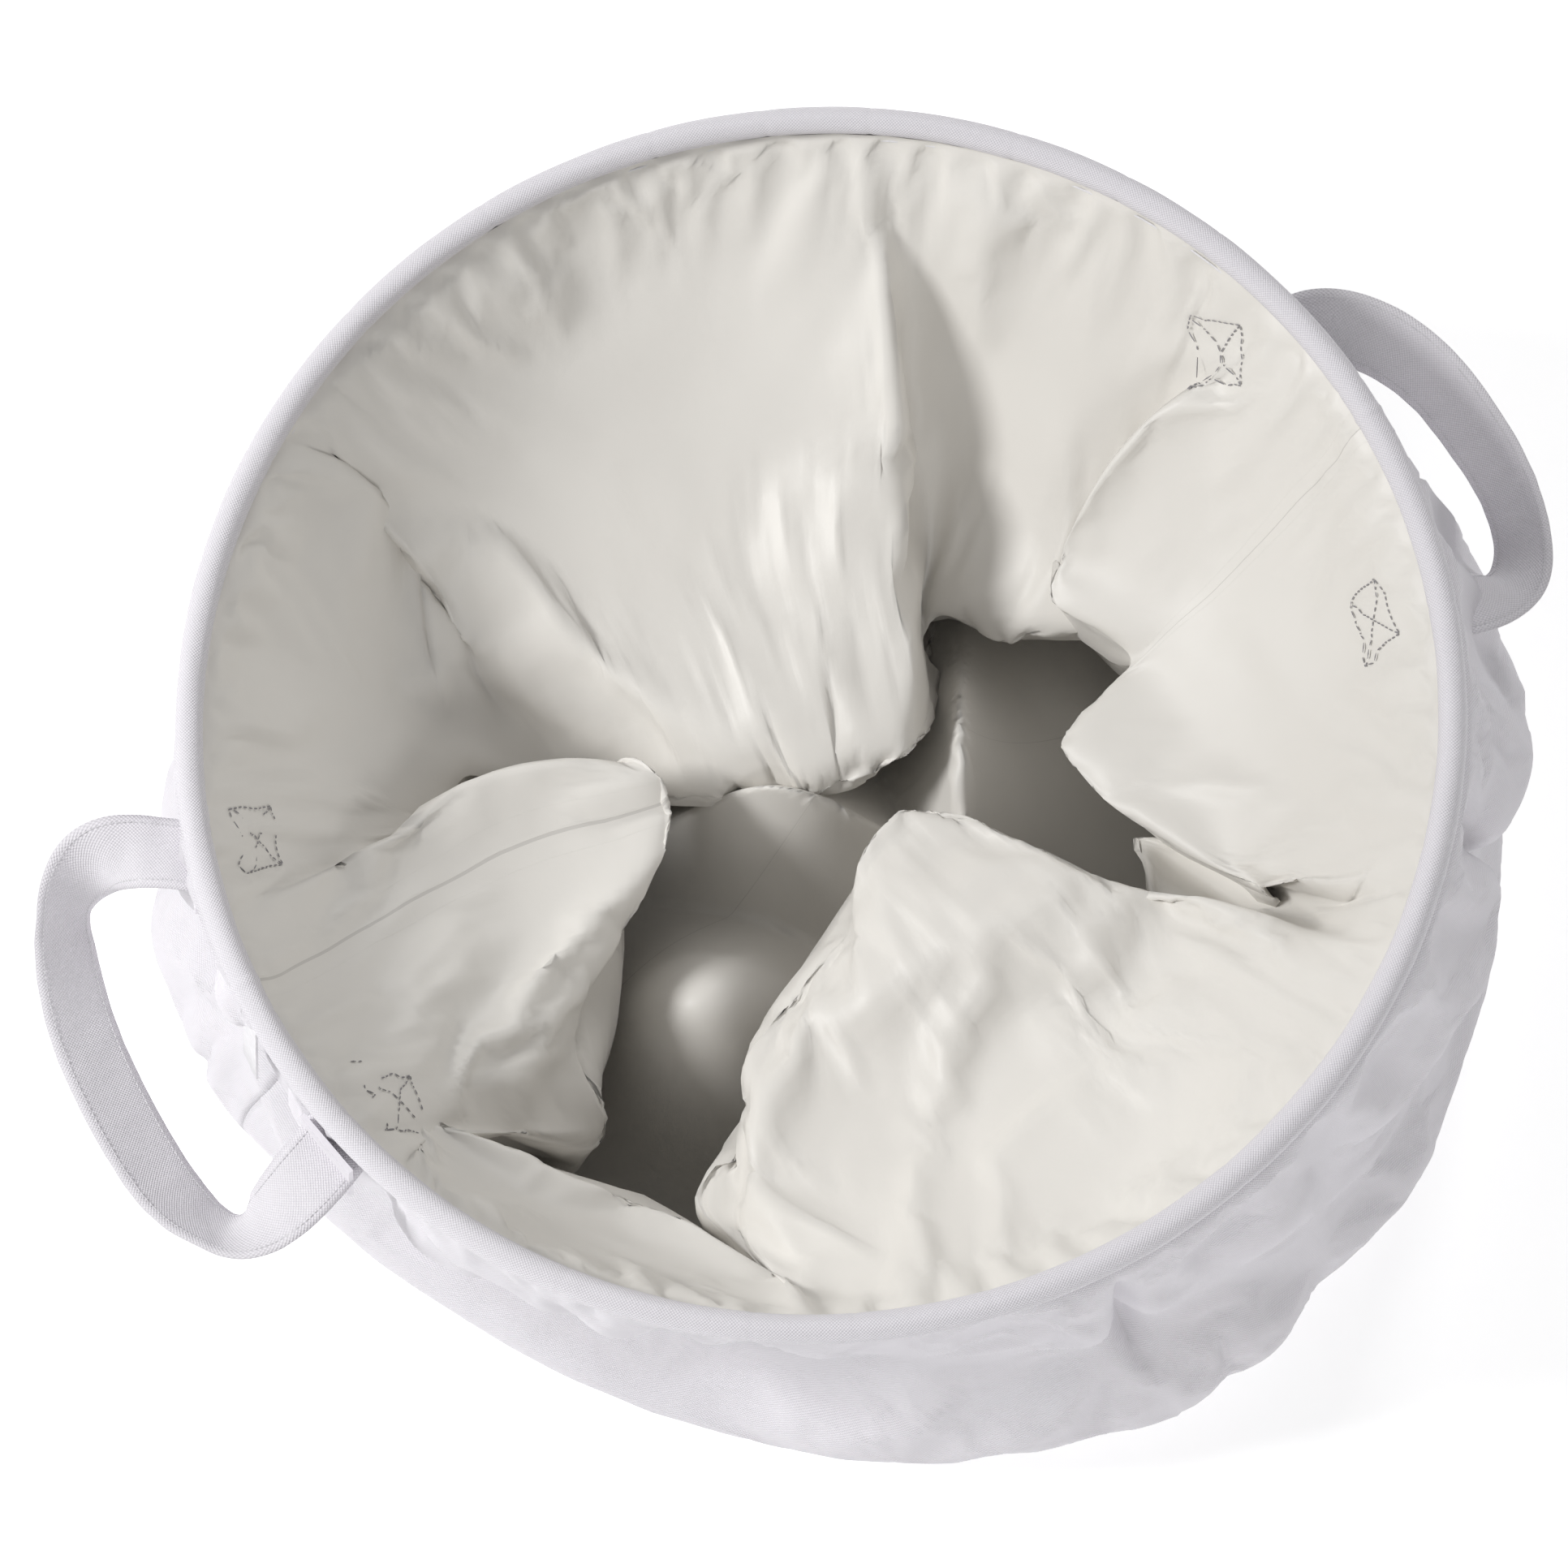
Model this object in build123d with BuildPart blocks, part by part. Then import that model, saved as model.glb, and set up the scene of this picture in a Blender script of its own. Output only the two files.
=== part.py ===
# Round soft laundry bag with a spring-wire rim, a coated lining and two strap handles,
# standing half collapsed. Millimetres, +Z up, origin on the floor under the middle of the
# base, +X through the right handle. The side seams lie on the X axis, so each fabric ring
# is a back half (y > 0) and a front half (y < 0).

import os
from math import atan2, cos, degrees, hypot, radians, sin, sqrt

from build123d import *

os.makedirs("parts", exist_ok=True)

# ---------------------------------------------------------------- driving dimensions
RIM_RADIUS = 195.5  # centreline of the wire hoop
RIM_HEIGHT = 200.0  # hoop centreline above the floor, bag half collapsed
WIRE_RADIUS = 2.0
WIRE_GAP_DEG = 0.3  # the hoop's two wire ends meet inside the ferrule
FERRULE_RADIUS = 3.0
FERRULE_BORE = 2.1
FERRULE_ARC_DEG = 9.0
SLEEVE_RADIUS = 4.4  # fabric tunnel round the wire
SLEEVE_BORE = 3.4
HEM_THICKNESS = 1.5  # the tunnel's turned edges, sewn between shell and lining
HEM_DROP = 12.0  # from the hoop centreline to the lower edge of the hem

FABRIC = 1.2  # shell and lining panels
BASE_RADIUS = 195.0
SEAM_GAP = 0.4  # between fabric of the base and fabric that lifts with the rim
TAPE_WIDTH = 10.0
TAPE_THICKNESS = 0.8
THREAD_RADIUS = 0.35
THREAD_CLEAR = 0.7  # rim thread, off the faces of the fabric
RIM_STITCH_RISE = 5.0  # above the lower edge of the hem

SHELL_TOP = RIM_HEIGHT - 6.0
SHELL_BULGE = 217.0  # radius of the slack skirt
SHELL_SHOULDER = 100.0  # above this height the shell runs straight up to the hem
LINING_LIP = 78.0  # radius of the well between the lining's folds
LINING_LIP_HEIGHT = 118.0

STRAP_WIDTH = 24.0
STRAP_THICKNESS = 1.8
STRAP_SPREAD = 52.0  # each end of a handle, measured along Y from the side seam
LOOP_REACH = 60.0  # from the hinge line to the outer edge of the loop
LOOP_ROUND = 34.0
TAB_HEIGHT = 24.0  # sewn end of a strap
TAB_MID = 163.0
HINGE_X = 199.5
HINGE_Z = 178.0
LEFT_DROOP = 12.0  # degrees below horizontal, as the loops lie
RIGHT_DROOP = 22.0
STITCH_BOX = 20.0  # side of the box-and-cross stitching
STITCH_INSET = 2.6  # edge stitching, from the strap's edge

# ---------------------------------------------------------------- derived positions
SHELL_HEM_RADIUS = RIM_RADIUS + (HEM_THICKNESS + FABRIC) / 2
LINING_HEM_RADIUS = RIM_RADIUS - (HEM_THICKNESS + FABRIC) / 2
SHELL_FOOT = FABRIC + SEAM_GAP + FABRIC / 2  # the strip's rounded end reaches lower
LINING_BASE_Z = FABRIC + TAPE_THICKNESS + 0.2
LINING_FOOT = LINING_BASE_Z + FABRIC + SEAM_GAP + FABRIC / 2
LINING_BASE_RADIUS = BASE_RADIUS - TAPE_WIDTH - 2

shell_path = [
    (BASE_RADIUS - 1.5, SHELL_FOOT),
    (SHELL_BULGE, 42),
    (SHELL_BULGE, SHELL_SHOULDER),
    (SHELL_HEM_RADIUS, SHELL_TOP),
]
lining_path = [
    (LINING_BASE_RADIUS + 2, LINING_FOOT),
    (LINING_LIP + 26, LINING_LIP_HEIGHT - 26),
    (LINING_LIP, LINING_LIP_HEIGHT),
    (152, 160),
    (LINING_HEM_RADIUS, RIM_HEIGHT - HEM_DROP + 1),
    (LINING_HEM_RADIUS, SHELL_TOP),
]
shoulder_run = SHELL_TOP - SHELL_SHOULDER
shell_lean = degrees(atan2(SHELL_BULGE - SHELL_HEM_RADIUS, shoulder_run))


def shell_face_radius(height):
    """Radius of the shell's outer face on its straight stretch under the hem."""
    middle = SHELL_HEM_RADIUS + (SHELL_BULGE - SHELL_HEM_RADIUS) * (SHELL_TOP - height) / shoulder_run
    return middle + FABRIC / 2 / cos(radians(shell_lean))


def save(piece, name):
    piece.part.label = name
    export_step(piece.part, f"parts/{name}.step")


def radial_plane(angle_deg):
    """Plane through the Z axis: local x is the radius at that angle, local y is up."""
    return Plane(origin=(0, 0, 0), x_dir=(cos(radians(angle_deg)), sin(radians(angle_deg)), 0),
                 z_dir=(sin(radians(angle_deg)), -cos(radians(angle_deg)), 0))


# The revolve turns from its sketch plane, so the back half starts at +X and the front at -X.
HALVES = {"back": 0, "front": 180}


# ---------------------------------------------------------------- base: sewn discs
with BuildPart() as outer_base:
    with BuildSketch():
        Circle(BASE_RADIUS)
    extrude(amount=FABRIC)
save(outer_base, "outer_base")

with BuildPart() as base_seam_tape:
    with BuildSketch(Plane.XY.offset(FABRIC + 0.1)):
        Circle(BASE_RADIUS - 4)
        Circle(BASE_RADIUS - 4 - TAPE_WIDTH, mode=Mode.SUBTRACT)
    extrude(amount=TAPE_THICKNESS)
save(base_seam_tape, "base_seam_tape")

with BuildPart() as lining_base:
    with BuildSketch(Plane.XY.offset(LINING_BASE_Z)):
        Circle(LINING_BASE_RADIUS)
    extrude(amount=FABRIC)
save(lining_base, "lining_base")

# ---------------------------------------------------------------- rim: wire hoop in its tunnel
with BuildPart() as hoop_wire:
    with BuildSketch(radial_plane(WIRE_GAP_DEG / 2)):
        with Locations((RIM_RADIUS, RIM_HEIGHT)):
            Circle(WIRE_RADIUS)
    revolve(axis=Axis.Z, revolution_arc=360 - WIRE_GAP_DEG)
save(hoop_wire, "hoop_wire")

with BuildPart() as hoop_ferrule:
    with BuildSketch(radial_plane(-FERRULE_ARC_DEG / 2)):
        with Locations((RIM_RADIUS, RIM_HEIGHT)):
            Circle(FERRULE_RADIUS)
            Circle(FERRULE_BORE, mode=Mode.SUBTRACT)
    revolve(axis=Axis.Z, revolution_arc=FERRULE_ARC_DEG)
save(hoop_ferrule, "hoop_ferrule")

for side, start in HALVES.items():
    with BuildPart() as rim_sleeve:
        with BuildSketch(radial_plane(start)):
            with Locations((RIM_RADIUS, RIM_HEIGHT)):
                Circle(SLEEVE_RADIUS)
            with Locations((RIM_RADIUS, RIM_HEIGHT - HEM_DROP / 2)):
                Rectangle(HEM_THICKNESS, HEM_DROP)
            with Locations((RIM_RADIUS, RIM_HEIGHT)):
                Circle(SLEEVE_BORE, mode=Mode.SUBTRACT)
        revolve(axis=Axis.Z, revolution_arc=180)
    save(rim_sleeve, f"rim_sleeve_{side}")

with BuildPart() as rim_stitching:
    with BuildSketch(radial_plane(0)):
        for radius in (SHELL_HEM_RADIUS + FABRIC / 2, LINING_HEM_RADIUS - FABRIC / 2):
            outward = 1 if radius > RIM_RADIUS else -1
            with Locations((radius + outward * (THREAD_RADIUS + THREAD_CLEAR),
                            RIM_HEIGHT - HEM_DROP + RIM_STITCH_RISE)):
                Circle(THREAD_RADIUS)
    revolve(axis=Axis.Z, revolution_arc=360)
save(rim_stitching, "rim_stitching")


# ---------------------------------------------------------------- walls: shell and lining halves
def wall_half(path, rounding, start):
    """Half a ring of fabric, its section a bent strip of even thickness."""
    with BuildPart() as half:
        with BuildSketch(radial_plane(start)):
            with BuildLine():
                strip = FilletPolyline(*path, radius=rounding)
                offset(strip, amount=FABRIC / 2, kind=Kind.ARC)
            make_face()
        revolve(axis=Axis.Z, revolution_arc=180)
    return half


for side, start in HALVES.items():
    save(wall_half(shell_path, 30, start), f"outer_wall_{side}")
    save(wall_half(lining_path, 2.5, start), f"lining_{side}")

# Binding tape inside each side seam of the shell, on its straight stretch.
tape_face = FABRIC / 2 + 0.3 + TAPE_THICKNESS / 2
for hand, turn in {"right": 0, "left": 180}.items():
    with BuildPart() as seam_tape:
        with BuildSketch(radial_plane(turn)):
            with Locations(((SHELL_BULGE + SHELL_HEM_RADIUS) / 2 - tape_face / cos(radians(shell_lean)),
                            (SHELL_SHOULDER + SHELL_TOP) / 2 - 4)):
                Rectangle(TAPE_THICKNESS, shoulder_run - 24, rotation=shell_lean)
        extrude(amount=TAPE_WIDTH / 2, both=True)
    save(seam_tape, f"side_seam_tape_{hand}")


# ---------------------------------------------------------------- strap ends, sewn to the shell
def tab_plane(hand, along_y, stand_off):
    """On the shell under the hem: local z points out of the fabric, local y up along it."""
    reach = shell_face_radius(TAB_MID)
    across = sqrt(reach**2 - along_y**2)
    angle = degrees(atan2(along_y, hand * across))
    outward = Vector(cos(radians(angle)), sin(radians(angle)), 0)
    normal = outward * cos(radians(shell_lean)) + Vector(0, 0, 1) * sin(radians(shell_lean))
    centre = Vector(hand * across, along_y, TAB_MID) + normal * stand_off
    return Plane(origin=centre, x_dir=Vector(0, 0, 1).cross(outward), z_dir=normal)


for name, hand in {"left": -1, "right": 1}.items():
    for end, along_y in {"back": STRAP_SPREAD, "front": -STRAP_SPREAD}.items():
        with BuildPart() as tab:
            with BuildSketch(tab_plane(hand, along_y, 0.05)):
                Rectangle(STRAP_WIDTH, TAB_HEIGHT)
            extrude(amount=STRAP_THICKNESS)
        save(tab, f"handle_{name}_tab_{end}")

        with BuildPart() as box_stitch:
            with BuildSketch(tab_plane(hand, along_y, STRAP_THICKNESS + 0.1)):
                Rectangle(STITCH_BOX, STITCH_BOX)
                inside = STITCH_BOX - 4 * THREAD_RADIUS
                Rectangle(inside, inside, mode=Mode.SUBTRACT)
                diagonal = hypot(inside, inside)
                Rectangle(diagonal, 2 * THREAD_RADIUS, rotation=45)
                Rectangle(diagonal, 2 * THREAD_RADIUS, rotation=-45)
            extrude(amount=THREAD_RADIUS)
        save(box_stitch, f"box_stitch_{name}_{end}")


# ---------------------------------------------------------------- free loops of the handles
def loop_plane(hand, droop):
    """Local x runs out along the drooping loop, local z is its upper face."""
    return Plane(origin=(hand * HINGE_X, 0, HINGE_Z),
                 x_dir=(hand * cos(radians(droop)), 0, -sin(radians(droop))),
                 z_dir=(hand * sin(radians(droop)), 0, cos(radians(droop))))


def loop_outline(inset, width):
    """U-shaped band in the sketch: its outer edge lies inset within the strap's outer edge."""
    reach = LOOP_REACH - inset
    half = STRAP_SPREAD + STRAP_WIDTH / 2 - inset
    rounding = LOOP_ROUND - inset
    for edge, mode in ((0, Mode.ADD), (width, Mode.SUBTRACT)):
        with BuildSketch(mode=Mode.PRIVATE) as arch:
            RectangleRounded(2 * (reach - edge), 2 * (half - edge), max(rounding - edge, 1.5))
        add(arch.sketch, mode=mode)
    with Locations((-LOOP_REACH, 0)):
        Rectangle(2 * LOOP_REACH, 4 * half, mode=Mode.SUBTRACT)


for name, hand, droop in (("left", -1, LEFT_DROOP), ("right", 1, RIGHT_DROOP)):
    with BuildPart() as strap:
        with BuildSketch(loop_plane(hand, droop)):
            loop_outline(0, STRAP_WIDTH)
        extrude(amount=STRAP_THICKNESS / 2, both=True)
    save(strap, f"handle_{name}_strap")

    with BuildPart() as strap_stitching:
        with BuildSketch(loop_plane(hand, droop).offset(STRAP_THICKNESS / 2 + 0.05)):
            loop_outline(STITCH_INSET, 2 * THREAD_RADIUS)
        extrude(amount=THREAD_RADIUS)
        with BuildSketch(loop_plane(hand, droop).offset(STRAP_THICKNESS / 2 + 0.05)):
            loop_outline(STRAP_WIDTH - STITCH_INSET, 2 * THREAD_RADIUS)
        extrude(amount=THREAD_RADIUS)
    save(strap_stitching, f"handle_{name}_stitching")
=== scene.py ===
"""Laundry bag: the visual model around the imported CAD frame. Lengths are metres."""
import math

import bpy
from mathutils import Matrix, Vector, noise
from mathutils.bvhtree import BVHTree


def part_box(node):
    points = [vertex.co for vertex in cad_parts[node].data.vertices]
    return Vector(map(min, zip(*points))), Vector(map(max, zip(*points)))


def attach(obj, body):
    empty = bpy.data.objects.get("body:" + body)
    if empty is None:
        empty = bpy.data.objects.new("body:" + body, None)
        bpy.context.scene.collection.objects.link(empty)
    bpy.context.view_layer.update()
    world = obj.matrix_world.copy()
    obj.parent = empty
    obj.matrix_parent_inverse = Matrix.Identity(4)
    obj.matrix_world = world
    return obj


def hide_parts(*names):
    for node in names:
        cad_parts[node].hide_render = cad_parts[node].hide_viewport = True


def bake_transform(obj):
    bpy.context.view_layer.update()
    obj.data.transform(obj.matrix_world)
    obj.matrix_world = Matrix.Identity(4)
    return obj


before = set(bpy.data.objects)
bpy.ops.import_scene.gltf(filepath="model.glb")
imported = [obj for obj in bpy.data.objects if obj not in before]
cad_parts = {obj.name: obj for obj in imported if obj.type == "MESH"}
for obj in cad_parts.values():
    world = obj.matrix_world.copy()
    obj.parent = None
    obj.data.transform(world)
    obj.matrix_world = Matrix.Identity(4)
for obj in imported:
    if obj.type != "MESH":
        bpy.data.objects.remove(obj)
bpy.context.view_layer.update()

MM = 0.001
TAU = 2 * math.pi

sleeve_low, sleeve_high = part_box("rim_sleeve_front")
TUBE_RADIUS = 4.4 * MM
RIM_RADIUS = sleeve_high[0] - TUBE_RADIUS
RIM_HEIGHT = sleeve_high[2] - TUBE_RADIUS
BASE_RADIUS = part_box("outer_base")[1][0]
WEAVE_PITCH = 1.05 * MM
STITCH_PITCH = 2.3 * MM
SEAM_ANGLES = (0.0, math.pi)
SIDES = {"back": (0.0, math.pi), "front": (math.pi, TAU)}


# ------------------------------------------------------------------ materials
class Nodes:
    """Short hand for building a node tree."""

    def __init__(self, name):
        self.material = bpy.data.materials.new(name)
        self.material.use_nodes = True
        self.tree = self.material.node_tree
        self.shader = self.tree.nodes["Principled BSDF"]

    def add(self, kind, **inputs):
        node = self.tree.nodes.new(kind)
        for key, value in inputs.items():
            self.put(node.inputs[key.replace("_", " ")], value)
        return node

    def put(self, socket, value):
        if isinstance(value, bpy.types.NodeSocket):
            self.tree.links.new(value, socket)
        else:
            socket.default_value = value

    def math(self, operation, first, second=0.0):
        node = self.tree.nodes.new("ShaderNodeMath")
        node.operation = operation
        self.put(node.inputs[0], first)
        self.put(node.inputs[1], second)
        return node.outputs[0]

    def mix(self, factor, first, second):
        node = self.tree.nodes.new("ShaderNodeMix")
        node.data_type = "RGBA"
        self.put(node.inputs["Factor"], factor)
        self.put(node.inputs["A"], first)
        self.put(node.inputs["B"], second)
        return node.outputs["Result"]

    def noise(self, scale, detail=2.0, vector=None):
        node = self.add("ShaderNodeTexNoise", Scale=scale, Detail=detail)
        if vector is None:
            vector = self.add("ShaderNodeTexCoord").outputs["Object"]
        self.put(node.inputs["Vector"], vector)
        return node.outputs["Fac"]

    def waves(self, pitch):
        """Two sine waves across the cloth's own length and width, which the UV map holds in metres."""
        split = self.add("ShaderNodeSeparateXYZ", Vector=self.add("ShaderNodeUVMap").outputs["UV"])
        return [self.math("SINE", self.math("MULTIPLY", split.outputs[axis], TAU / pitch)) for axis in "XY"]

    def bump(self, height, strength, distance, under=None):
        node = self.add("ShaderNodeBump", Strength=strength, Distance=distance, Height=height)
        if under is not None:
            self.put(node.inputs["Normal"], under)
        return node.outputs["Normal"]


def oxford(name, light, dark):
    """Basket-weave oxford: raised pale floats, slightly uneven in colour, with soft creasing."""
    n = Nodes(name)
    across, along = n.waves(WEAVE_PITCH)
    weave = n.math("MULTIPLY", across, along)
    floats = n.math("MULTIPLY_ADD", weave, 0.5)
    floats.node.inputs[2].default_value = 0.5
    uneven = n.noise(14.0, 3.0)
    tone = n.mix(floats, (*dark, 1), (*light, 1))
    shade = n.mix(n.math("MULTIPLY", uneven, 0.16), tone, (0.60, 0.58, 0.60, 1))
    n.put(n.shader.inputs["Base Color"], shade)
    n.shader.inputs["Roughness"].default_value = 0.78
    n.shader.inputs["Specular IOR Level"].default_value = 0.3
    n.shader.inputs["Sheen Weight"].default_value = 0.15
    crease = n.bump(n.noise(55.0, 4.0), 0.25, 1.2 * MM)
    n.put(n.shader.inputs["Normal"], n.bump(weave, 0.55, 0.22 * MM, crease))
    return n.material


def coated_lining(name):
    """Fine plain weave with a soft coating: satin folds and faint small press marks."""
    n = Nodes(name)
    across, along = n.waves(0.45 * MM)
    weave = n.math("MULTIPLY", across, along)
    cloudy = n.noise(9.0, 3.0)
    tone = n.mix(cloudy, (0.69, 0.665, 0.625, 1), (0.76, 0.74, 0.70, 1))
    split = n.add("ShaderNodeSeparateXYZ", Vector=n.add("ShaderNodeUVMap").outputs["UV"])
    from_seam = n.math("PINGPONG", split.outputs["X"], math.pi * (RIM_RADIUS - 2 * MM) / 2)
    line = n.math("LESS_THAN", from_seam, 0.45 * MM)
    n.put(n.shader.inputs["Base Color"], n.mix(n.math("MULTIPLY", line, 0.45), tone, (0.42, 0.40, 0.38, 1)))
    n.shader.inputs["Roughness"].default_value = 0.46
    n.shader.inputs["Specular IOR Level"].default_value = 0.42
    n.shader.inputs["Sheen Weight"].default_value = 0.1
    marks = n.add("ShaderNodeTexNoise", Scale=26.0, Detail=5.0, Distortion=0.8)
    n.put(marks.inputs["Vector"], n.add("ShaderNodeTexCoord").outputs["Object"])
    soft = n.bump(marks.outputs["Fac"], 0.22, 2.0 * MM)
    allowance = n.math("MULTIPLY", n.math("LESS_THAN", from_seam, 6.5 * MM), n.math("SUBTRACT", 1.0, line))
    seam = n.bump(allowance, 0.6, 0.7 * MM, soft)
    n.put(n.shader.inputs["Normal"], n.bump(weave, 0.12, 0.05 * MM, seam))
    return n.material


def plain_twist(name, color, roughness, metallic=0.0, scale=900.0):
    """Thread, tape and wire: a fine direction-less grain over one tone."""
    n = Nodes(name)
    grain = n.noise(scale, 2.0)
    darker = tuple(c * 0.78 for c in color)
    n.put(n.shader.inputs["Base Color"], n.mix(grain, (*darker, 1), (*color, 1)))
    n.shader.inputs["Roughness"].default_value = roughness
    n.shader.inputs["Metallic"].default_value = metallic
    n.put(n.shader.inputs["Normal"], n.bump(grain, 0.3, 0.1 * MM))
    return n.material


SHELL = oxford("shell_oxford", (0.83, 0.81, 0.845), (0.62, 0.60, 0.64))
STRAP = oxford("strap_oxford", (0.85, 0.83, 0.86), (0.66, 0.64, 0.68))
LINING = coated_lining("coated_lining")
THREAD = plain_twist("grey_thread", (0.30, 0.29, 0.30), 0.8)
PALE_THREAD = plain_twist("pale_thread", (0.80, 0.79, 0.81), 0.8)
TAPE = plain_twist("binding_tape", (0.74, 0.73, 0.75), 0.85, scale=400.0)
STEEL = plain_twist("drawn_wire", (0.58, 0.59, 0.60), 0.35, 1.0)


# ------------------------------------------------------------------ mesh helpers
def grid_object(name, rows, material, uv, closed=False, thickness=0.0):
    """A sheet from rows of points; uv gives each point's place on the flat cloth, in metres."""
    count = len(rows[0])
    verts = [tuple(p) for row in rows for p in row]
    faces, corners = [], []
    for i in range(len(rows) - 1):
        for j in range(count if closed else count - 1):
            k = (j + 1) % count
            faces.append((i * count + j, i * count + k, (i + 1) * count + k, (i + 1) * count + j))
            corners += [uv[i][j], uv[i][j + 1], uv[i + 1][j + 1], uv[i + 1][j]]
    mesh = bpy.data.meshes.new(name)
    mesh.from_pydata(verts, [], faces)
    layer = mesh.uv_layers.new(name="UVMap")
    for loop, place in zip(layer.data, corners):
        loop.uv = place
    mesh.polygons.foreach_set("use_smooth", [True] * len(mesh.polygons))
    obj = bpy.data.objects.new(name, mesh)
    bpy.context.scene.collection.objects.link(obj)
    mesh.materials.append(material)
    if thickness:
        solid = obj.modifiers.new("thickness", "SOLIDIFY")
        solid.thickness = thickness
        solid.offset = 0
    return obj


def flat_uv(rows):
    """Place on the flat cloth: distance along the first row, and distance down each column."""
    widths = [0.0]
    for a, b in zip(rows[0], rows[0][1:] + rows[0][:1]):
        widths.append(widths[-1] + (Vector(b) - Vector(a)).length)
    downs = [[0.0] * (len(rows[0]) + 1)]
    for upper, lower in zip(rows, rows[1:]):
        steps = [(Vector(b) - Vector(a)).length for a, b in zip(upper, lower)]
        downs.append([d + s for d, s in zip(downs[-1], steps + steps[:1])])
    return [[(w, d) for w, d in zip(widths, row)] for row in downs]


def curve_at(points, t, closed=False):
    """Catmull-Rom through the points; t runs from 0 to the number of spans."""
    n = len(points)
    i = int(math.floor(t))
    f = t - i
    if not closed and i >= n - 1:
        i, f = n - 2, 1.0
    def pick(k):
        return points[k % n] if closed else points[min(max(k, 0), n - 1)]
    a, b, c, d = pick(i - 1), pick(i), pick(i + 1), pick(i + 2)
    return 0.5 * ((2 * b) + (c - a) * f + (2 * a - 5 * b + 4 * c - d) * f * f
                  + (3 * b - a - 3 * c + d) * f * f * f)


def smooth_step(low, high, value):
    t = min(max((value - low) / (high - low), 0.0), 1.0)
    return t * t * (3 - 2 * t)


def bell(value, middle, width):
    return math.exp(-((value - middle) / width) ** 2)


def around(angle, middle):
    """Signed difference of two angles in degrees."""
    return (angle - middle + 180) % 360 - 180


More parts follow.
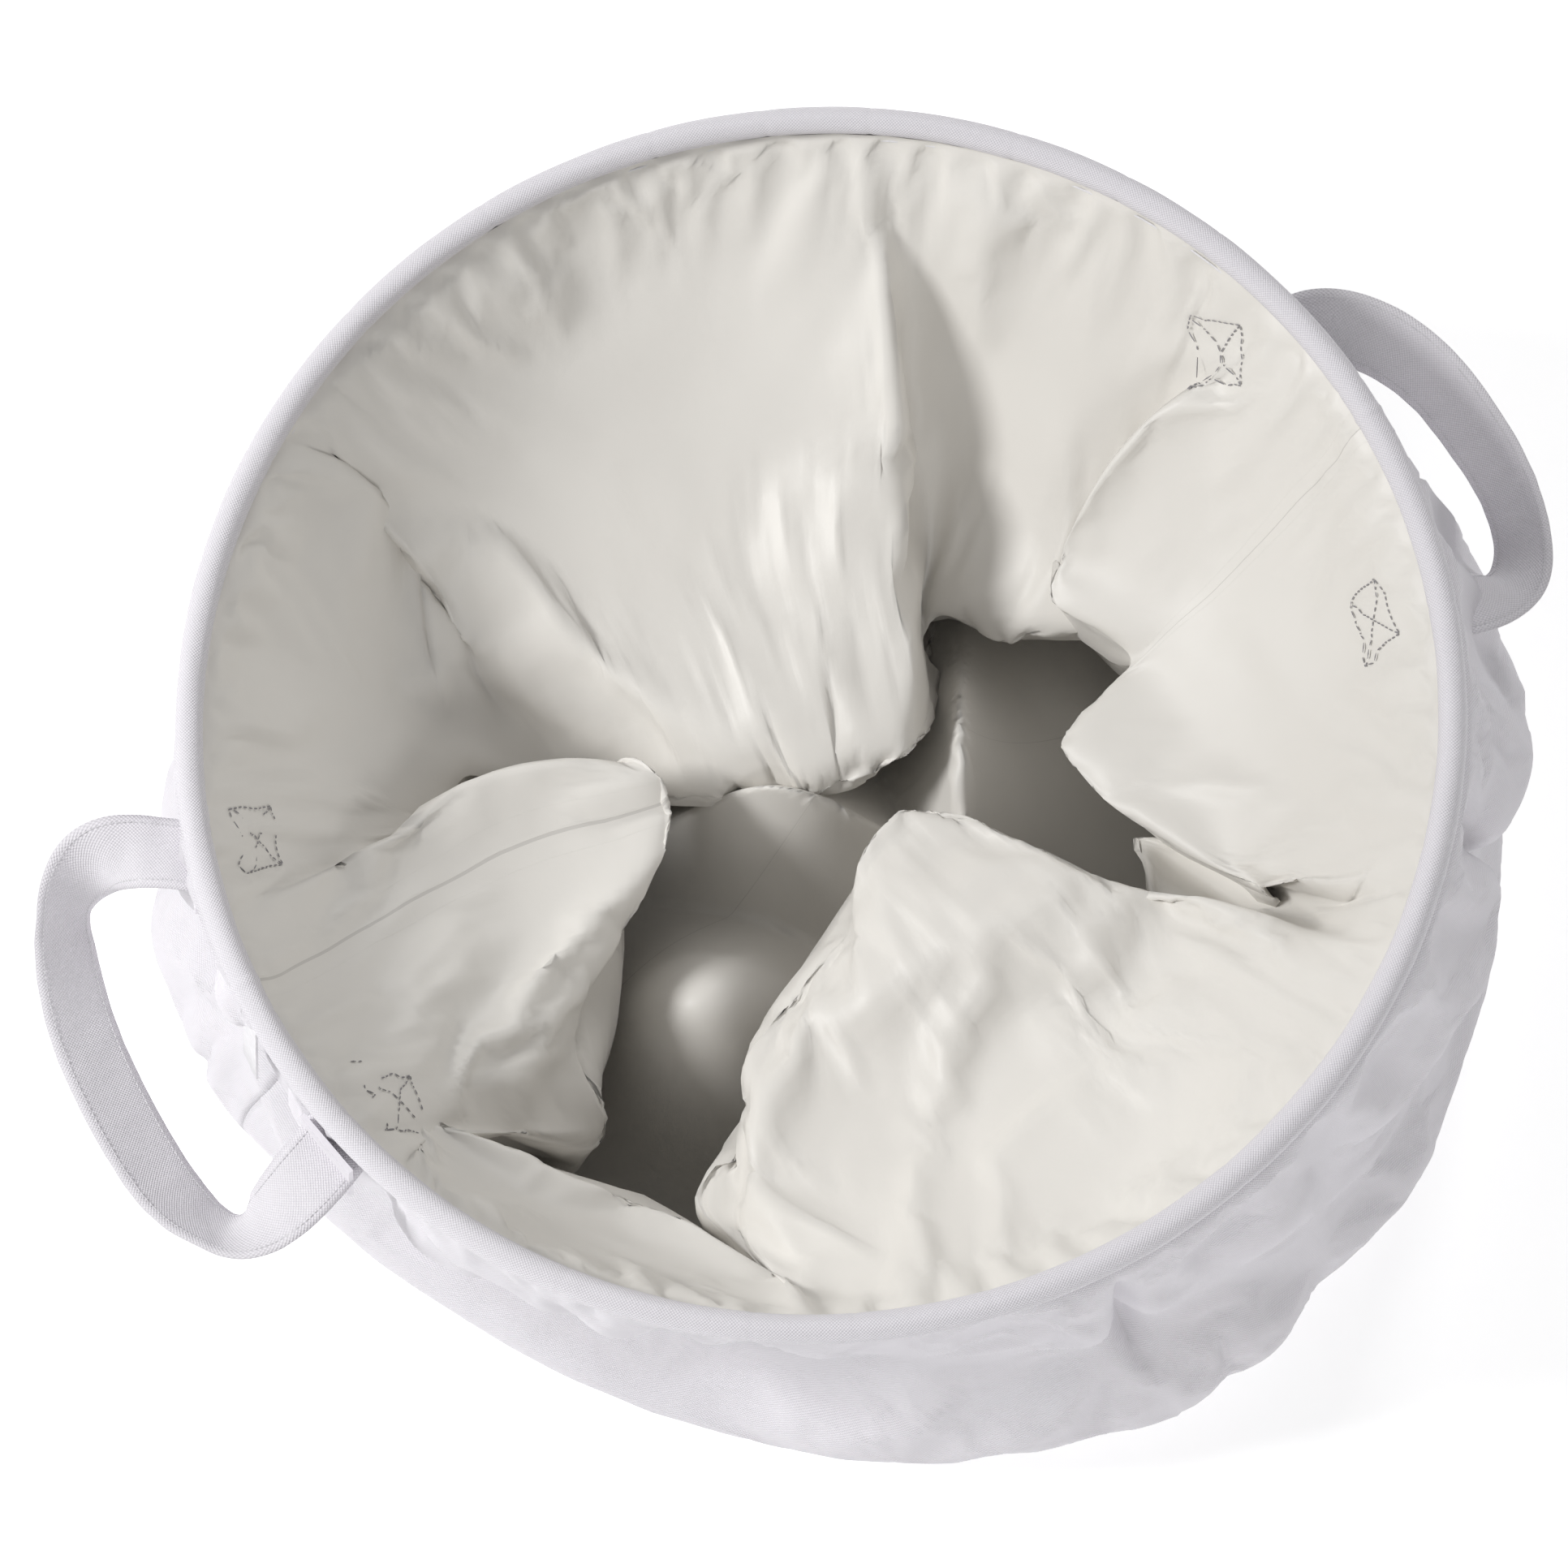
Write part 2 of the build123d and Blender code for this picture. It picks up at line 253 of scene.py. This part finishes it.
# ------------------------------------------------------------------ lining: folds fall over the well
# Each column of cloth leaves the rim at an angle and runs to the lip of its fold. The four
# points after the rim are in mm. Columns marked "tuck" lie under the fold in front of them.
COLUMNS = [
    (4, "F", (172, 8, 182), (144, 6, 158), (120, 2, 140), (97, -4, 124)),
    (11, "F", (172, 28, 184), (140, 30, 164), (112, 30, 146), (86, 24, 128)),
    (17, "F", (168, 46, 178), (138, 48, 166), (112, 44, 150), (92, 34, 132)),
    (20, "tuck", (168, 60, 172), (136, 44, 138), (116, 34, 114), (92, 14, 92)),
    (26, "G", (168, 78, 184), (142, 64, 154), (118, 40, 130), (98, 10, 108)),
    (37, "G", (146, 104, 184), (122, 84, 154), (102, 56, 124), (74, 20, 94)),
    (47, "G", (122, 122, 182), (104, 104, 150), (84, 74, 118), (54, 40, 88)),
    (52, "tuck", (106, 140, 176), (86, 112, 140), (64, 72, 108), (44, 34, 78)),
    (57, "A", (94, 150, 186), (82, 120, 166), (60, 70, 148), (38, 2, 124)),
    (72, "A", (52, 166, 186), (44, 122, 172), (30, 66, 152), (12, 0, 118)),
    (88, "A", (6, 174, 186), (8, 128, 170), (2, 70, 148), (-5, 2, 113)),
    (105, "A", (-44, 166, 184), (-32, 122, 166), (-26, 70, 144), (-30, 13, 110)),
    (119, "A", (-80, 150, 182), (-60, 112, 158), (-50, 66, 136), (-48, 22, 106)),
    (124, "tuck", (-94, 146, 176), (-84, 112, 144), (-80, 76, 116), (-72, 40, 90)),
    (129, "B", (-100, 142, 184), (-78, 118, 162), (-86, 86, 142), (-96, 54, 118)),
    (146, "B", (-138, 108, 184), (-118, 92, 166), (-112, 72, 146), (-110, 46, 118)),
    (160, "B", (-164, 64, 184), (-146, 58, 168), (-128, 50, 148), (-112, 38, 118)),
    (168, "tuck", (-176, 42, 178), (-146, 38, 152), (-112, 38, 126), (-78, 34, 98)),
    (174, "C", (-178, 24, 184), (-136, 32, 166), (-90, 42, 146), (-56, 34, 130)),
    (181, "C", (-176, 2, 184), (-140, 8, 170), (-98, 14, 152), (-52, 10, 128)),
    (190, "C", (-172, -24, 182), (-146, -20, 166), (-116, -18, 152), (-78, -20, 128)),
    (198, "C", (-164, -46, 176), (-148, -46, 158), (-128, -48, 146), (-104, -48, 128)),
    (203, "tuck", (-160, -58, 166), (-146, -60, 144), (-130, -66, 124), (-118, -72, 104)),
    (208, "D", (-164, -66, 182), (-160, -60, 179), (-158, -54, 175), (-154, -50, 168)),
    (219, "D", (-148, -96, 184), (-144, -88, 179), (-140, -80, 172), (-136, -76, 160)),
    (232, "D", (-120, -126, 184), (-118, -118, 178), (-114, -112, 168), (-110, -106, 152)),
    (244, "D", (-86, -160, 184), (-86, -154, 180), (-85, -148, 172), (-84, -140, 160)),
    (248, "tuck", (-76, -164, 172), (-84, -146, 156), (-94, -128, 144), (-104, -112, 134)),
    (254, "E", (-54, -168, 172), (-66, -144, 162), (-80, -118, 150), (-84, -88, 134)),
    (264, "E", (-24, -172, 172), (-36, -138, 166), (-46, -98, 154), (-46, -60, 132)),
    (273, "E", (6, -172, 172), (-4, -130, 170), (-14, -88, 158), (-20, -46, 130)),
    (283, "E", (36, -164, 172), (26, -120, 172), (12, -76, 158), (0, -33, 129)),
    (293, "E", (66, -150, 174), (52, -112, 172), (40, -70, 158), (24, -26, 128)),
    (302, "E", (88, -134, 172), (78, -108, 166), (64, -80, 152), (46, -48, 132)),
    (308, "E", (104, -126, 166), (98, -112, 160), (86, -94, 150), (72, -78, 136)),
    (312, "tuck", (116, -124, 156), (106, -108, 128), (92, -88, 106), (78, -56, 84)),
    (317, "F", (132, -122, 180), (124, -122, 172), (112, -110, 158), (98, -94, 140)),
    (330, "F", (152, -86, 182), (132, -84, 168), (110, -74, 150), (80, -62, 124)),
    (343, "F", (166, -48, 184), (142, -46, 166), (112, -38, 146), (70, -24, 114)),
    (354, "F", (172, -18, 182), (142, -16, 160), (116, -14, 140), (86, -12, 118)),
]
ACROSS = 480
DOWN = 80
LINING_RADIUS = RIM_RADIUS - 2.0 * MM
LINING_TOP = RIM_HEIGHT - TUBE_RADIUS - 0.4 * MM
LINING_FOOT = Vector((0, 0, 4.2 * MM))


def column_points(column):
    """From the rim to the lip of the fold, back under it and down to the base."""
    angle = math.radians(column[0])
    out = Vector((math.cos(angle), math.sin(angle), 0))
    run = [Vector(p) * MM for p in column[2:]]
    lip = run[-1]
    tucked = column[1] == "tuck"
    top = out * LINING_RADIUS + Vector((0, 0, LINING_TOP))
    flat_lip = Vector((lip.x, lip.y, 0))
    turn = flat_lip * 1.02 + out * 3 * MM + Vector((0, 0, lip.z - 7 * MM))
    foot = out * (BASE_RADIUS - 11 * MM) + LINING_FOOT
    under = turn.lerp(foot, 0.45) + Vector((0, 0, -(18 if tucked else 12) * MM))
    near_foot = turn.lerp(foot, 0.82) + Vector((0, 0, -4 * MM))
    return [top, *run, turn, under, near_foot, foot]


def wrinkle(point, down):
    """Soft buckles and gathers of the free cloth, none where it is sewn."""
    free = smooth_step(0.0, 0.12, down) * (1 - smooth_step(0.93, 1.0, down))
    place = point * 15
    broad = noise.noise_vector(place) * 4.2 * MM
    fine = noise.noise_vector(point * 42 + Vector((7, 3, 1))) * 1.3 * MM
    return (broad + fine) * free


def lining_rows():
    columns = [column_points(c) for c in COLUMNS]
    angles = [c[0] for c in COLUMNS] + [COLUMNS[0][0] + 360]
    rows = []
    marks = []
    for j in range(ACROSS):
        angle = 360 * j / ACROSS
        if angle < angles[0]:
            angle += 360
        k = max(i for i in range(len(COLUMNS)) if angles[i] <= angle)
        marks.append(k + (angle - angles[k]) / (angles[k + 1] - angles[k]))
    spans = len(columns[0]) - 1
    for i in range(DOWN + 1):
        down = i / DOWN
        rail = [curve_at(c, down * spans) for c in columns]
        row = []
        for j, mark in enumerate(marks):
            point = curve_at(rail, mark, closed=True)
            turn = TAU * j / ACROSS
            sewn = Vector((LINING_RADIUS * math.cos(turn), LINING_RADIUS * math.sin(turn), LINING_TOP))
            if i == 0:
                point = sewn
            gather = math.sin(turn * 64 + 2.2 * math.sin(turn * 7)) * bell(down, 0.045, 0.04)
            point = point + Vector((math.cos(turn), math.sin(turn), 0.4)) * gather * 1.5 * MM
            row.append(point + wrinkle(point, down))
        rows.append(row)
    return rows


def settle(rows, pins, growth, frames):
    """Short cloth simulation of a closed ring of cloth a little larger than its shape, so it buckles."""
    count = len(rows[0])
    cloth = grid_object("settling", rows, LINING, [[(0, 0)] * (count + 1)] * len(rows), closed=True)
    group = cloth.vertex_groups.new(name="pin")
    for i, weight in enumerate(pins):
        group.add(list(range(i * count, (i + 1) * count)), weight, "REPLACE")
    sim = cloth.modifiers.new("cloth", "CLOTH")
    sim.settings.quality = 6
    sim.settings.mass = 0.12
    sim.settings.tension_stiffness = 18
    sim.settings.compression_stiffness = 18
    sim.settings.shear_stiffness = 6
    sim.settings.bending_stiffness = 0.04
    sim.settings.vertex_group_mass = "pin"
    sim.settings.pin_stiffness = 0.6
    sim.settings.shrink_min = -growth
    sim.settings.effector_weights.gravity = 0.12
    sim.collision_settings.use_collision = False
    sim.point_cache.frame_start, sim.point_cache.frame_end = 1, frames
    for number in range(1, frames + 1):
        bpy.context.scene.frame_set(number)
    settled = cloth.evaluated_get(bpy.context.evaluated_depsgraph_get()).to_mesh()
    points = [v.co.copy() for v in settled.vertices]
    bpy.data.objects.remove(cloth)
    bpy.context.scene.frame_set(1)
    return [points[i * count:(i + 1) * count] for i in range(len(rows))]


def pin_weight(down):
    """Sewn edges are held; the lip of each fold is held a little; the rest is nearly free."""
    if down < 0.03 or down > 0.97:
        return 1.0
    return 0.02 + 0.12 * bell(down, 4 / 8, 0.05) + 0.3 * bell(down, 0.0, 0.06)


def inside_shell(point):
    """Keeps the lining over the base and clear of the shell."""
    most = (186 + 7 * smooth_step(170 * MM, 190 * MM, point.z)) * MM
    share = min(1.0, most / max(math.hypot(point.x, point.y), 1e-6))
    return Vector((point.x * share, point.y * share, max(point.z, 5 * MM)))


LINING_ROWS = lining_rows()
LINING_ROWS = settle(LINING_ROWS, [pin_weight(i / DOWN) for i in range(DOWN + 1)], 0.06, 14)
LINING_ROWS = [[inside_shell(p) for p in row] for row in LINING_ROWS]
LINING_UV = flat_uv(LINING_ROWS)
lining_pieces = []
for side, (start, end) in SIDES.items():
    first, last = round(start / TAU * ACROSS), round(end / TAU * ACROSS)
    picked = [[row[j % ACROSS] for j in range(first, last + 1)] for row in LINING_ROWS]
    places = [row[first:last + 1] for row in LINING_UV]
    piece = grid_object(f"lining_{side}_cloth", picked, LINING, places)
    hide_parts(f"lining_{side}")
    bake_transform(piece)
    lining_pieces.append(piece)


# The round base of the lining, crumpled up between the folds.
def base_height(x, y):
    long_ridge = 104 * math.exp(-abs(x * 0.55 + y * 0.83 + 4) / 30) * bell(x * 0.83 - y * 0.55, -16, 46)
    left_rise = 88 * bell(x, -70, 46) * bell(y, -44, 42)
    right_ridge = 98 * math.exp(-abs(x * 0.9 - y * 0.44 - 44) / 24) * bell(x * 0.44 + y * 0.9, 8, 60)
    edge = 1 - smooth_step(100, 165, math.hypot(x, y))
    return max(long_ridge, left_rise, right_ridge) * edge


disc_rows = []
DISC_RINGS, DISC_STEPS = 60, 160
for i in range(DISC_RINGS + 1):
    radius = (BASE_RADIUS / MM - 12) * (1 - 0.9995 * i / DISC_RINGS)
    row = []
    for j in range(DISC_STEPS):
        x = radius * math.cos(TAU * j / DISC_STEPS)
        y = radius * math.sin(TAU * j / DISC_STEPS)
        ripple = 5 * noise.noise(Vector((x, y, 0)) * 0.022) * (1 - smooth_step(120, 180, radius))
        row.append(Vector((x, y, 3.4 + base_height(x, y) + max(ripple, 0))) * MM)
    disc_rows.append(row)
base_cloth = grid_object("lining_base_cloth", disc_rows, LINING, flat_uv(disc_rows), closed=True)
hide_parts("lining_base")
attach(base_cloth, "base")


# ------------------------------------------------------------------ shell: slack skirt with folds
# Radius of the slack skirt at angles round the bag, in mm.
SKIRT = [(0, 222), (25, 217), (60, 213), (95, 212), (130, 216), (155, 224), (172, 226), (186, 210),
         (200, 197), (218, 190), (234, 190), (250, 200), (262, 208), (272, 216), (290, 218),
         (310, 221), (330, 225), (345, 226)]
# Creases: angle, height, half width in degrees, half height and depth in mm, lean.
FOLDS = [(-36, 135, 2.2, 30, -13, 0.03), (-31, 70, 9, 38, 5, 0.0), (-60, 160, 9, 22, -8, 0.12),
         (-89.5, 140, 1.3, 42, -15, -0.01), (-93.0, 120, 2.6, 50, 3, -0.01), (-80, 158, 8, 24, -13, 0.10),
         (-70, 60, 5, 36, -7, 0.10), (170, 120, 3, 40, -9, 0.03), (176, 90, 4, 30, 6, 0.0),
         (-140, 60, 14, 30, -8, 0.2), (100, 90, 12, 26, -14, 0.2), (70, 120, 10, 30, -10, -0.2),
         (40, 80, 9, 30, -12, 0.15), (12, 95, 5, 34, -10, 0.05), (138, 80, 11, 26, -12, -0.15),
         (-120, 120, 8, 26, -7, 0.15), (-12, 70, 6, 30, -8, 0.05)]
SHELL_TOP = RIM_HEIGHT - TUBE_RADIUS
SHELL_ACROSS, SHELL_DOWN = 480, 60


def skirt_radius(angle):
    points = [Vector((a, r)) for a, r in SKIRT]
    points.append(Vector((360 + SKIRT[0][0], SKIRT[0][1])))
    points = [Vector((SKIRT[-1][0] - 360, SKIRT[-1][1]))] + points + [Vector((360 + SKIRT[1][0], SKIRT[1][1]))]
    k = max(i for i in range(1, len(points) - 2) if points[i].x <= angle)
    return curve_at(points, k + (angle - points[k].x) / (points[k + 1].x - points[k].x)).y


def shell_point(turn, skirt, down):
    """down is 0 at the hem under the rim and 1 at the seam of the base."""
    angle = math.degrees(turn)
    height = (SHELL_TOP - 0.6 * MM) * (1 - down) + 2.0 * MM * down
    slack = math.sin(math.pi * min(down * 1.0, 1.0)) ** 0.62
    foot = BASE_RADIUS / MM - 2
    plain = (RIM_RADIUS / MM + 1.6) * (1 - down) + foot * down
    radius = plain + (skirt - plain) * slack
    buckle = (14.0 + 7.0 * bell(around(angle, 110), 0, 95)) * math.sin(down * 3.1 * math.pi + 0.9 * math.sin(turn * 3)) * slack
    radius += buckle * smooth_step(0.15, 0.4, down)
    for middle, level, wide, tall, depth, lean in FOLDS:
        shift = around(angle, middle) - lean * (height / MM - level)
        sharp = 1 / (1 + (shift / wide) ** 2) ** 1.5
        radius += depth * sharp * bell(height / MM, level, tall) * smooth_step(0.0, 0.12, down)
    radius += 3.4 * noise.noise(Vector((math.cos(turn) * 8, math.sin(turn) * 8, height * 30))) * slack
    return Vector((radius * math.cos(turn) * MM, radius * math.sin(turn) * MM, height))


skirts = [skirt_radius(360 * j / SHELL_ACROSS) for j in range(SHELL_ACROSS)]
shell_rows = [[shell_point(TAU * j / SHELL_ACROSS, skirts[j], i / SHELL_DOWN) for j in range(SHELL_ACROSS)]
              for i in range(SHELL_DOWN + 1)]
shell_pins = [1.0 if i < 2 or i > SHELL_DOWN - 3 else 0.05 for i in range(SHELL_DOWN + 1)]
shell_rows = settle(shell_rows, shell_pins, 0.045, 10)
shell_rows = [[Vector((p.x, p.y, max(p.z, 1.6 * MM))) for p in row] for row in shell_rows]
shell_uv = flat_uv(shell_rows)
shell_pieces = []
for side, (start, end) in SIDES.items():
    first, last = round(start / TAU * SHELL_ACROSS), round(end / TAU * SHELL_ACROSS)
    picked = [[row[j % SHELL_ACROSS] for j in range(first, last + 1)] for row in shell_rows]
    places = [row[first:last + 1] for row in shell_uv]
    piece = grid_object(f"outer_wall_{side}_cloth", picked, SHELL, places, thickness=0.7 * MM)
    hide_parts(f"outer_wall_{side}")
    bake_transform(piece)
    shell_pieces.append(piece)


# ------------------------------------------------------------------ rim: fabric tunnel, puckered
PUCKERS = [4, 23, 33, 44, 58, 68, 79, 96, 112, 128, 150, 166, 184, 196, 209, 221, 238, 247, 259, 283, 318, 341]
TUBE_STEPS, RING_STEPS = 20, 1080


def sleeve_ring(turn):
    """One section of the tunnel: wobbling a little, nipped where the hem was gathered."""
    angle = math.degrees(turn)
    out = Vector((math.cos(turn), math.sin(turn), 0))
    nip = sum(1 / (1 + (around(angle, p) / 0.22) ** 2) for p in PUCKERS)
    seam = max(bell(around(angle, s), 0, 0.35) for s in (0.6, 180.6))
    section = []
    for k in range(TUBE_STEPS):
        around_tube = TAU * k / TUBE_STEPS
        lower_side = 0.5 - 0.5 * math.sin(around_tube)
        size = TUBE_RADIUS * (1 + 0.05 * noise.noise(out * 9 + Vector((0, 0, k * 0.4))))
        size -= 0.30 * MM * nip * (0.25 + lower_side)
        size += 0.35 * MM * seam
        offset = out * (size * math.cos(around_tube)) + Vector((0, 0, size * math.sin(around_tube)))
        section.append(out * RIM_RADIUS + Vector((0, 0, RIM_HEIGHT)) + offset)
    return section


for side, (start, end) in SIDES.items():
    half = RING_STEPS // 2
    rings = [sleeve_ring(start + (end - start) * i / half) for i in range(half + 1)]
    places = [[(TAU * TUBE_RADIUS * k / TUBE_STEPS, RIM_RADIUS * math.pi * i / half)
               for k in range(TUBE_STEPS + 1)] for i in range(half + 1)]
    sleeve = grid_object(f"rim_sleeve_{side}_cloth", rings, SHELL, places, closed=True)
    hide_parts(f"rim_sleeve_{side}")
    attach(sleeve, "rim")


# ------------------------------------------------------------------ stitches
def stitches(name, runs, material, body, length=0.62, size=0.28 * MM):
    """Runs of short threads; each run is a list of (point, normal) a stitch pitch apart."""
    verts, faces = [], []
    for run in runs:
        for (a, normal), (b, _) in zip(run, run[1:]):
            along = (b - a)
            if along.length < 1e-6:
                continue
            middle = a + along * 0.5 + normal * size * 0.5
            tip = along * (length / 2)
            side = along.normalized().cross(normal).normalized() * size
            up = normal * size
            ring = [(-0.5, 0.7, 0.2), (0, 1, 1), (0.5, 0.7, 0.2)]
            start = len(verts)
            for t, width, height in ring:
                for c, s in ((1, 0), (0, 1), (-1, 0), (0, -1)):
                    place = middle + tip * 2 * t + side * c * width + up * s * height
                    verts.append(tuple(place))
            for r in range(2):
                for q in range(4):
                    w = (q + 1) % 4
                    faces.append((start + r * 4 + q, start + r * 4 + w, start + r * 4 + 4 + w, start + r * 4 + 4 + q))
            faces.append((start + 3, start + 2, start + 1, start))
            faces.append((start + 8, start + 9, start + 10, start + 11))
    mesh = bpy.data.meshes.new(name)
    mesh.from_pydata(verts, [], faces)
    obj = bpy.data.objects.new(name, mesh)
    bpy.context.scene.collection.objects.link(obj)
    mesh.materials.append(material)
    if body:
        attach(obj, body)
    return obj


def tree_of(obj):
    return BVHTree.FromPolygons([v.co.copy() for v in obj.data.vertices],
                                [tuple(p.vertices) for p in obj.data.polygons])


def on_cloth(tree, point, towards):
    place, normal, _, _ = tree.find_nearest(point)
    if normal.dot(towards) < 0:
        normal = -normal
    return place + normal * 0.25 * MM, normal


def line_on(tree, a, b, towards):
    count = max(2, round((b - a).length / STITCH_PITCH))
    return [on_cloth(tree, a.lerp(b, i / count), towards) for i in range(count + 1)]


lining_trees = {side: tree_of(p) for side, p in zip(SIDES, lining_pieces)}
shell_trees = {side: tree_of(p) for side, p in zip(SIDES, shell_pieces)}
PATCHES = {"left_back": (-179, 49, 172, 12), "left_front": (-177, -50, 170, -14),
           "right_back": (168, 52, 174, 38), "right_front": (168, -50, 174, 8)}
BOX = 20 * MM
for name, (x, y, z, spin) in PATCHES.items():
    side = name.split("_")[1]
    centre = Vector((x, y, z)) * MM
    out = Vector((x, y, 0)).normalized()
    across = Vector((0, 0, 1)).cross(out)
    slope = (out + Vector((0, 0, 0.75))).normalized()
    turn = Matrix.Rotation(math.radians(spin), 3, slope.cross(across))
    right, up = turn @ across * BOX / 2, turn @ slope * BOX / 2
    corners = [centre + right * a + up * b for a, b in ((1, 1), (-1, 1), (-1, -1), (1, -1))]
    runs = [line_on(lining_trees[side], corners[i], corners[(i + 1) % 4], -out) for i in range(4)]
    runs += [line_on(lining_trees[side], corners[i], corners[i + 2], -out) for i in range(2)]
    patch = stitches(f"box_stitch_{name}_thread", runs, THREAD, "rim")
    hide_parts(f"box_stitch_{name}")


# ------------------------------------------------------------------ handles: twisted straps
STRAP_WIDTH, STRAP_THICKNESS = 24 * MM, 1.5 * MM
# Middle of the strap in mm, and the tilt of its face in degrees: 0 faces up, 90 faces out.
HANDLES = {
    "left": [(-186, 46, 166, 10), (-204, 58, 172, 8), (-222, 65, 174, -22), (-238, 58, 171, -62),
             (-246, 42, 166, -48), (-251, 18, 162, -38), (-251, -12, 160, -36), (-247, -40, 160, -40),
             (-238, -58, 160, -52), (-224, -62, 164, -20), (-204, -56, 168, 8), (-186, -46, 164, 14)],
    "right": [(182, 48, 166, 16), (202, 45, 174, 20), (218, 34, 170, 34), (229, 16, 164, 44),
              (234, -6, 158, 48), (235, -26, 154, 52), (231, -44, 152, 50), (221, -56, 154, 34),
              (205, -57, 160, 14), (188, -50, 162, 10)],
}


def strap_frame(points, t):
    """Middle, width direction and face normal of the strap."""
    raw = curve_at([Vector(p) for p in points], t)
    ahead = curve_at([Vector(p) for p in points], min(t + 0.02, len(points) - 1))
    behind = curve_at([Vector(p) for p in points], max(t - 0.02, 0))
    along = Vector((ahead - behind)[:3]).normalized()
    flat = Vector((0, 0, 1)).cross(along).normalized()
    tilt = math.radians(raw[3])
    width = flat * math.cos(tilt) + along.cross(flat) * math.sin(tilt)
    return Vector(raw[:3]) * MM, width, along.cross(width).normalized()


STRAP_STEPS, STRAP_ACROSS = 150, 12
for name, points in HANDLES.items():
    rows, places, edges = [], [], {-1: [], 1: []}
    distance, last = 0.0, None
    for i in range(STRAP_STEPS + 1):
        middle, width, normal = strap_frame(points, (len(points) - 1) * i / STRAP_STEPS)
        distance += 0 if last is None else (middle - last).length
        last = middle
        row = []
        for k in range(2 * STRAP_ACROSS):
            upper = k < STRAP_ACROSS
            c = k if upper else 2 * STRAP_ACROSS - 1 - k
            u = (c / (STRAP_ACROSS - 1) - 0.5)
            rounding = math.sqrt(max(0.0, 1 - (2 * abs(u)) ** 14)) * 0.7 + 0.3
            pucker = 0.35 * MM * noise.noise(Vector((distance * 160, u * 2.2, 4.0)))
            lift = (0.5 if upper else -0.5) * STRAP_THICKNESS * rounding + pucker
            row.append(middle + width * u * STRAP_WIDTH + normal * lift)
        rows.append(row)
        places.append([(STRAP_WIDTH * k / STRAP_ACROSS, distance) for k in range(2 * STRAP_ACROSS + 1)])
        for hand in edges:
            place = middle + width * hand * (STRAP_WIDTH / 2 - 2.6 * MM)
            for face in (1, -1):
                edges[hand].append((place + normal * face * STRAP_THICKNESS * 0.56, normal * face))
    strap = grid_object(f"handle_{name}_strap_cloth", rows, STRAP, places, closed=True)
    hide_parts(f"handle_{name}_strap")
    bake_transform(strap)
    runs = [edges[h][f::2] for h in edges for f in (0, 1)]
    thread = stitches(f"handle_{name}_stitching_thread", runs, PALE_THREAD, None, 0.7, 0.2 * MM)
    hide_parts(f"handle_{name}_stitching")
    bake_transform(thread)

# ------------------------------------------------------------------ carried-over CAD nodes
FINISHES = {"outer_base": SHELL, "base_seam_tape": TAPE, "side_seam_tape_left": TAPE,
            "side_seam_tape_right": TAPE, "hoop_wire": STEEL, "hoop_ferrule": STEEL, "rim_stitching": PALE_THREAD}
FINISHES.update({f"handle_{h}_tab_{e}": STRAP for h in ("left", "right") for e in ("back", "front")})
for node, material in FINISHES.items():
    obj = bpy.data.objects[node] if node in bpy.data.objects else None
    if obj is None:
        continue
    if obj.material_slots:
        for holder in obj.material_slots:
            holder.material = material
    else:
        obj.data.materials.append(material)

# ------------------------------------------------------------------ floor, light and camera
bpy.ops.mesh.primitive_plane_add(size=12, location=(0, 0, -0.0005))
floor = bpy.context.object
floor.name = "floor"
floor_nodes = Nodes("pale_floor")
floor_nodes.shader.inputs["Base Color"].default_value = (0.93, 0.93, 0.93, 1)
floor_nodes.shader.inputs["Roughness"].default_value = 0.9
floor_nodes.shader.inputs["Emission Color"].default_value = (1, 1, 1, 1)
floor_nodes.shader.inputs["Emission Strength"].default_value = 0.42
floor.data.materials.append(floor_nodes.material)

world = bpy.data.worlds.new("studio")
world.use_nodes = True
world.node_tree.nodes["Background"].inputs["Color"].default_value = (1, 1, 1, 1)
world.node_tree.nodes["Background"].inputs["Strength"].default_value = 0.34
bpy.context.scene.world = world
bpy.context.scene.view_settings.view_transform = "Standard"


def softbox(name, place, size, power):
    light = bpy.data.lights.new(name, "AREA")
    light.shape = "DISK"
    light.size = size
    light.energy = power
    obj = bpy.data.objects.new(name, light)
    obj.location = place
    obj.rotation_euler = (Vector((0, 0, 0.12)) - Vector(place)).to_track_quat("-Z", "Y").to_euler()
    bpy.context.scene.collection.objects.link(obj)


softbox("key", (-1.1, 0.5, 1.3), 0.5, 21)
softbox("side", (1.3, 1.2, 0.9), 0.6, 9)
softbox("front", (-0.2, -1.6, 1.0), 0.8, 7)

AZIMUTH, ELEVATION, ROLL, DISTANCE = (math.radians(-14.58), math.radians(73.51), math.radians(-12.42), 1.145)
back = Vector((math.sin(AZIMUTH) * math.cos(ELEVATION), -math.cos(AZIMUTH) * math.cos(ELEVATION),
               math.sin(ELEVATION)))
level = Vector((math.cos(AZIMUTH), math.sin(AZIMUTH), 0))
upward = back.cross(level)
right = level * math.cos(ROLL) + upward * math.sin(ROLL)
top = -level * math.sin(ROLL) + upward * math.cos(ROLL)
camera = bpy.data.objects.new("camera", bpy.data.cameras.new("camera"))
camera.data.lens = 85
camera.data.sensor_width = 36
place = Vector((0, 0, RIM_HEIGHT)) + back * DISTANCE + right * -0.0094 + top * -0.0271
camera.matrix_world = Matrix.Translation(place) @ Matrix((right, top, back)).transposed().to_4x4()
bpy.context.scene.collection.objects.link(camera)
bpy.context.scene.camera = camera
